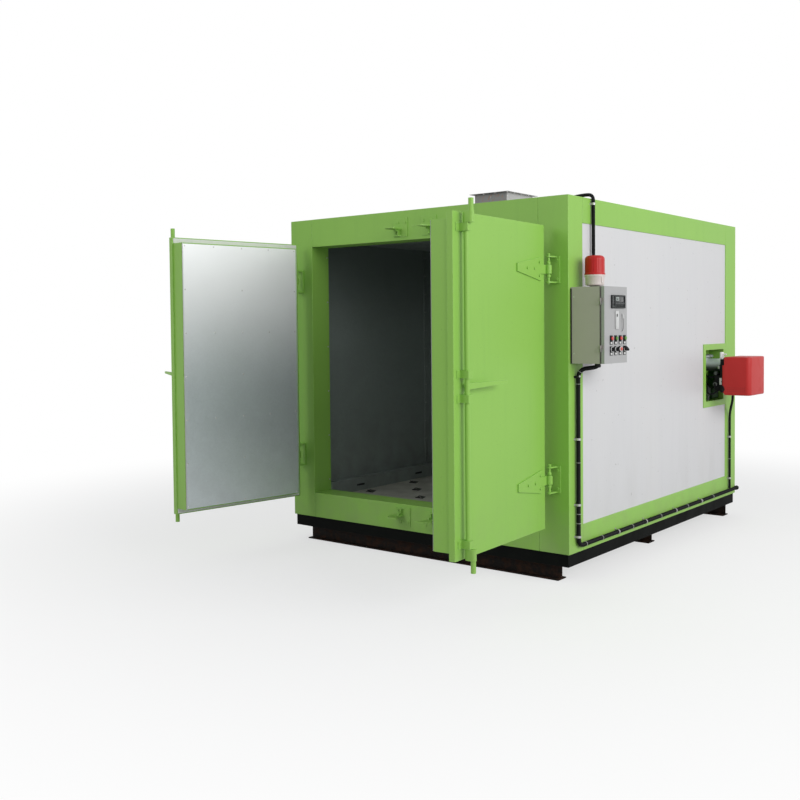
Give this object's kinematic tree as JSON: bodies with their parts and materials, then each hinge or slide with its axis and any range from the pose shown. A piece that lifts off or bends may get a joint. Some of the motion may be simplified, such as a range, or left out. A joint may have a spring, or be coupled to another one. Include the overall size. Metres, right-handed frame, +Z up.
{
  "type": "curing oven",
  "caption": "Insulated batch curing oven with double hinged doors, cam lock rods, side burner and control box.",
  "frame": {"origin": "on the ground, under the middle of the oven's body, at the middle runner's underside", "axes": "+Z up, -Y out of the doorway, +X to the side with the control box and burner"},
  "size_m": [3.0378, 3.9195, 2.57],
  "materials": {
    "green_paint": "satin apple green paint",
    "white_panel": "smooth white coated panel",
    "galvanised_sheet": "zinc coated sheet with a faint spangle",
    "black_paint": "black paint, a little dusty",
    "runner_steel": "dark primer worn to brown",
    "burner_steel": "plain steel tube",
    "burner_black": "black painted casting",
    "red_cover": "glossy red cover",
    "box_grey": "grey powder coat",
    "box_door_grey": "pale grey powder coat",
    "controller_black": "black moulded plastic",
    "button_plastic": "coloured plastic buttons on metal plates",
    "beacon_cream": "cream plastic",
    "beacon_red": "red translucent plastic",
    "conduit_black": "black corrugated conduit"
  },
  "bodies": {
    "root": {"front_post_right": "green_paint", "front_post_left": "green_paint", "front_lintel": "green_paint", "front_sill": "green_paint", "rear_post_right": "green_paint", "rear_post_left": "green_paint", "top_rail_right": "green_paint", "top_rail_left": "green_paint", "bottom_rail_right": "green_paint", "bottom_rail_left": "green_paint", "back_top_rail": "green_paint", "back_bottom_rail": "green_paint", "burner_niche": "green_paint", "hinge_bracket_right_lower": "green_paint", "hinge_bracket_right_upper": "green_paint", "hinge_bracket_left_lower": "green_paint", "hinge_bracket_left_upper": "green_paint", "keeper_right_upper": "green_paint", "keeper_right_lower": "green_paint", "keeper_left_upper": "green_paint", "keeper_left_lower": "green_paint", "wall_left": "white_panel", "wall_right": "white_panel", "wall_right_over_niche": "white_panel", "wall_right_under_niche": "white_panel", "wall_back": "white_panel", "roof": "white_panel", "roof_duct": "galvanised_sheet", "floor_panel": "galvanised_sheet", "floor_plate": "galvanised_sheet", "lining_right": "galvanised_sheet", "lining_left": "galvanised_sheet", "lining_back": "galvanised_sheet", "base_frame": "black_paint", "skid_front": "runner_steel", "skid_middle": "runner_steel", "skid_rear": "runner_steel", "blast_tube": "burner_steel", "burner_body": "burner_black", "burner_cover": "red_cover", "control_box": "box_grey", "beacon_base": "beacon_cream", "beacon_dome": "beacon_red", "conduit_roof": "conduit_black", "conduit_main": "conduit_black", "conduit_burner": "conduit_black"},
    "right_door": {"door_right": "green_paint", "door_lining_right": "galvanised_sheet", "hinge_strap_right_lower": "green_paint", "hinge_strap_right_upper": "green_paint"},
    "left_door": {"door_left": "green_paint", "door_lining_left": "galvanised_sheet", "hinge_strap_left_lower": "green_paint", "hinge_strap_left_upper": "green_paint"},
    "right_lock": {"lock_rod_right": "green_paint"},
    "left_lock": {"lock_rod_left": "green_paint"},
    "control_door": {"control_box_door": "box_door_grey", "temperature_controller": "controller_black", "push_buttons": "button_plastic"}
  },
  "joints": [
    {"name": "right_door", "type": "hinge", "parent": "root", "child": "right_door", "pos_m": [1.062, -1.458, 1.28], "axis": [0, 0, 1], "range_deg": [-93.2, 36.8]},
    {"name": "left_door", "type": "hinge", "parent": "root", "child": "left_door", "pos_m": [-1.062, -1.458, 1.28], "axis": [0, 0, -1], "range_deg": [-98.5, 31.5]},
    {"name": "right_lock_rod", "type": "hinge", "parent": "right_door", "child": "right_lock", "pos_m": [1.13351, -2.43253, 1.266], "axis": [0, 0, -1], "range_deg": [0, 90]},
    {"name": "left_lock_rod", "type": "hinge", "parent": "left_door", "child": "left_lock", "pos_m": [-1.22322, -2.42176, 1.266], "axis": [0, 0, 1], "range_deg": [-69, 21]},
    {"name": "control_box_door", "type": "hinge", "parent": "root", "child": "control_door", "pos_m": [1.3675, -1.381, 1.58], "axis": [0, 0, -1], "range_deg": [0, 120]}
  ]
}
